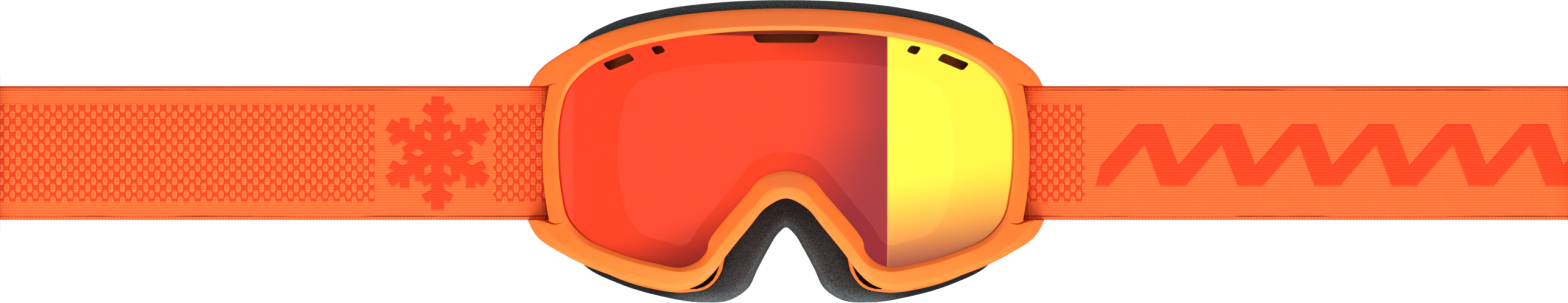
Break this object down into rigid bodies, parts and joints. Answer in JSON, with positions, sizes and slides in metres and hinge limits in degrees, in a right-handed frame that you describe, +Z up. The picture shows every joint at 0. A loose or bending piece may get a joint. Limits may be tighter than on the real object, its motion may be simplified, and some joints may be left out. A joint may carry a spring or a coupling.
{
  "type": "ski goggles",
  "caption": "Ski goggles with a moulded orange frame, a two-tone mirrored double lens, grey face foam and a wide elastic strap in two halves that clip together behind the head.",
  "frame": {"origin": "on the mid plane, level with the axes of the two pins that the strap's loops turn on; the wearer's face is behind it at +Y", "axes": "+Z up as worn, -Y is the way the lens faces, +X to the right seen from the front"},
  "size_m": [0.582, 0.069, 0.0902],
  "materials": {
    "frame_orange": "satin soft-touch orange plastic",
    "lens_mirror": "polished mirror coating, red over the left two thirds and yellow on the right",
    "lens_clear": "clear tinted sheet",
    "foam_grey": "fine-grained charcoal foam",
    "fleece_black": "brushed fleece",
    "vent_brown": "open-cell foam, dark brown behind the orange frame",
    "webbing_orange": "woven elastic with a honeycomb pattern",
    "clip_black": "fine-textured black plastic",
    "pin_steel": "plain"
  },
  "bodies": {
    "goggles": {"frame": "frame_orange", "outer_lens": "lens_mirror", "lens_gasket": "foam_grey", "inner_lens": "lens_clear", "lens_vent_foam": "vent_brown", "top_vent_foam": "vent_brown", "left_bottom_vent_foam": "vent_brown", "right_bottom_vent_foam": "vent_brown", "face_foam_base": "foam_grey", "face_foam_comfort": "foam_grey", "face_fleece": "fleece_black", "left_strap_pin": "pin_steel", "right_strap_pin": "pin_steel"},
    "left_strap": {"left_strap_front": "webbing_orange"},
    "right_strap": {"right_strap_front": "webbing_orange"},
    "left_rear_strap": {"left_strap_rear": "webbing_orange", "buckle_socket": "clip_black"},
    "right_rear_strap": {"right_strap_rear": "webbing_orange", "buckle_plug": "clip_black"},
    "left_adjuster": {"left_slider": "clip_black", "left_strap_tail": "webbing_orange"},
    "right_adjuster": {"right_slider": "clip_black", "right_strap_tail": "webbing_orange"},
    "upper_clip": {"upper_prong": "clip_black"},
    "lower_clip": {"lower_prong": "clip_black"}
  },
  "joints": [
    {"name": "left_strap_swing", "type": "hinge", "parent": "goggles", "child": "left_strap", "pos_m": [-0.0732, 0, 0], "axis": [0, 0, -1], "range_deg": [-45, 90]},
    {"name": "right_strap_swing", "type": "hinge", "parent": "goggles", "child": "right_strap", "pos_m": [0.0732, 0, 0], "axis": [0, 0, 1], "range_deg": [-45, 90]},
    {"name": "left_strap_wrap", "type": "hinge", "parent": "left_strap", "child": "left_rear_strap", "pos_m": [-0.224, -0.00075, 0], "axis": [0, 0, -1], "range_deg": [-30, 90]},
    {"name": "right_strap_wrap", "type": "hinge", "parent": "right_strap", "child": "right_rear_strap", "pos_m": [0.224, -0.00075, 0], "axis": [0, 0, 1], "range_deg": [-30, 90]},
    {"name": "left_slider_slide", "type": "slide", "parent": "left_rear_strap", "child": "left_adjuster", "axis": [1, 0, 0], "range_m": [0, 0.01]},
    {"name": "right_slider_slide", "type": "slide", "parent": "right_rear_strap", "child": "right_adjuster", "axis": [-1, 0, 0], "range_m": [0, 0.01]},
    {"name": "upper_prong_flex", "type": "hinge", "parent": "right_rear_strap", "child": "upper_clip", "pos_m": [0.2808, 0.0024, 0.0105], "axis": [0, 1, 0], "range_deg": [0, 8], "stiffness_Nm_per_rad": 0.5},
    {"name": "lower_prong_flex", "type": "hinge", "parent": "right_rear_strap", "child": "lower_clip", "pos_m": [0.2808, 0.0024, -0.0105], "axis": [0, -1, 0], "range_deg": [0, 8], "stiffness_Nm_per_rad": 0.5}
  ]
}
